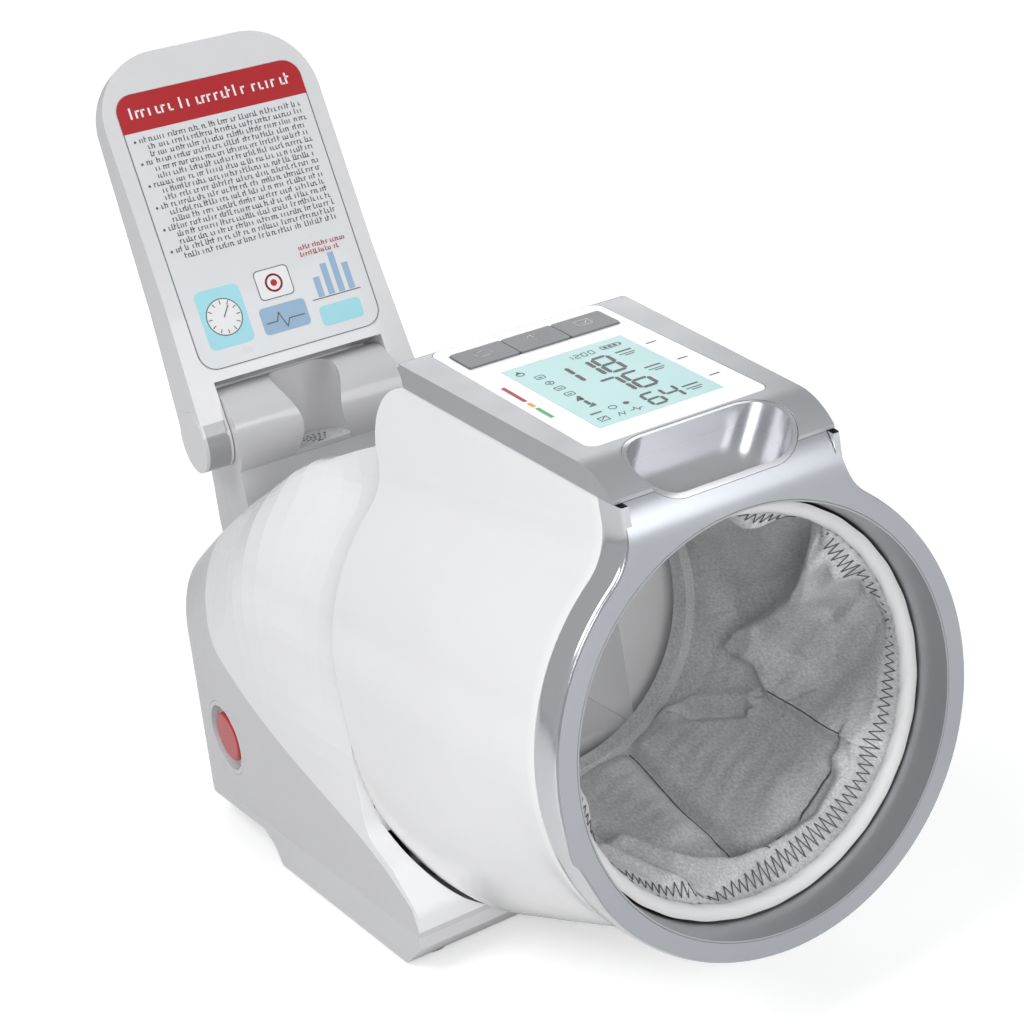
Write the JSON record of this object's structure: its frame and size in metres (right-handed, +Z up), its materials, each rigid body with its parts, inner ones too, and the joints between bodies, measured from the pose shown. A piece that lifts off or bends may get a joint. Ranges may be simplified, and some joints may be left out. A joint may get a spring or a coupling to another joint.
{
  "type": "upper arm blood pressure monitor",
  "caption": "Arm-in blood pressure monitor: a tilting barrel with a soft sleeve and a display on a base with an elbow rest, and a folding lid.",
  "frame": {"origin": "on the table, under the middle of the whole length, midway between the sides", "axes": "+Z up, -Y out of the arm opening at the front, +X to the right seen from the front"},
  "size_m": [0.161, 0.3786, 0.3278],
  "materials": {
    "white_shell": "high gloss moulded",
    "grey_shell": "satin gloss moulded",
    "tray_plastic": "fine matt moulded",
    "rest_plastic": "soft gloss moulded",
    "column_plastic": "soft gloss moulded",
    "grille_plastic": "matt, pierced",
    "dark_works": "matt",
    "steel": "bright zinc",
    "rubber": "matt",
    "stop_ring": "gloss",
    "stop_red": "gloss",
    "board": "solder mask",
    "cell_metal": "satin sleeve",
    "pump_metal": "satin",
    "hose_rubber": "soft",
    "satin_silver": "satin silver paint",
    "bright_trim": "bright plated",
    "cap_silver": "satin silver paint",
    "cup_silver": "gloss silver paint",
    "panel_white": "gloss sheet",
    "lcd_glass": "clear",
    "lcd_face": "pale cyan",
    "key_grey": "satin",
    "collar_silver": "satin",
    "drum_plastic": "matt",
    "rim_soft": "soft matt",
    "bladder": "matt",
    "sleeve_fabric": "woven",
    "lid_plastic": "soft gloss moulded",
    "band_grey": "gloss",
    "label": "printed sheet"
  },
  "bodies": {
    "base": {"base_tray": "tray_plastic", "side_rear_cover": "grey_shell", "upper_shell_left": "white_shell", "upper_shell_right": "white_shell", "elbow_rest": "rest_plastic", "column_front": "column_plastic", "speaker_grille": "grille_plastic", "speaker": "dark_works", "lid_hinge_pins": "steel", "pivot_arms": "steel", "stop_button_ring": "stop_ring", "stop_switch": "dark_works", "battery_bay": "dark_works", "battery_door": "tray_plastic", "battery_cells": "cell_metal", "battery_contacts": "steel", "air_pump": "pump_metal", "pump_cradle": "rubber", "air_valve": "pump_metal", "air_hose": "hose_rubber", "main_board": "board", "pressure_sensor": "dark_works", "board_screws": "steel", "rubber_feet": "rubber"},
    "barrel": {"barrel_shell": "white_shell", "pivot_pins": "steel", "trim_band": "bright_trim", "front_plate": "satin_silver", "display_cap": "cap_silver", "grip_cup": "cup_silver", "display_panel": "panel_white", "lcd_window": "lcd_glass", "lcd_module": "lcd_face", "display_board": "board", "key_switches": "dark_works", "opening_collar": "collar_silver", "inner_drum": "drum_plastic", "cuff_rim_ring": "rim_soft", "air_bladder": "bladder", "cuff_sleeve": "sleeve_fabric", "cuff_rear_ring": "rim_soft"},
    "memory_key_body": {"memory_key": "key_grey"},
    "power_key_body": {"power_key": "key_grey"},
    "user_key_body": {"user_key": "key_grey"},
    "lid": {"lid_front_frame": "lid_plastic", "lid_back_shell": "lid_plastic", "arm_end_bands": "band_grey", "label_plate": "label"},
    "stop_button_body": {"stop_button": "stop_red"}
  },
  "joints": [
    {"name": "barrel_tilt", "type": "hinge", "parent": "base", "child": "barrel", "pos_m": [0, -0.05934, 0.113], "axis": [-1, 0, 0], "range_deg": [0, 10]},
    {"name": "lid_hinge", "type": "hinge", "parent": "base", "child": "lid", "pos_m": [0, 0.14166, 0.167], "axis": [1, 0, 0], "range_deg": [0, 86]},
    {"name": "memory_key_press", "type": "slide", "parent": "barrel", "child": "memory_key_body", "axis": [0, 0.1673, -0.9859], "range_m": [0, 0.0008], "stiffness_N_per_m": 700, "springref_m": -0.0006},
    {"name": "power_key_press", "type": "slide", "parent": "barrel", "child": "power_key_body", "axis": [0, 0.1673, -0.9859], "range_m": [0, 0.0008], "stiffness_N_per_m": 700, "springref_m": -0.0006},
    {"name": "user_key_press", "type": "slide", "parent": "barrel", "child": "user_key_body", "axis": [0, 0.1673, -0.9859], "range_m": [0, 0.0008], "stiffness_N_per_m": 700, "springref_m": -0.0006},
    {"name": "stop_press", "type": "slide", "parent": "base", "child": "stop_button_body", "axis": [1, 0, 0], "range_m": [0, 0.0012], "stiffness_N_per_m": 900, "springref_m": -0.0008}
  ]
}
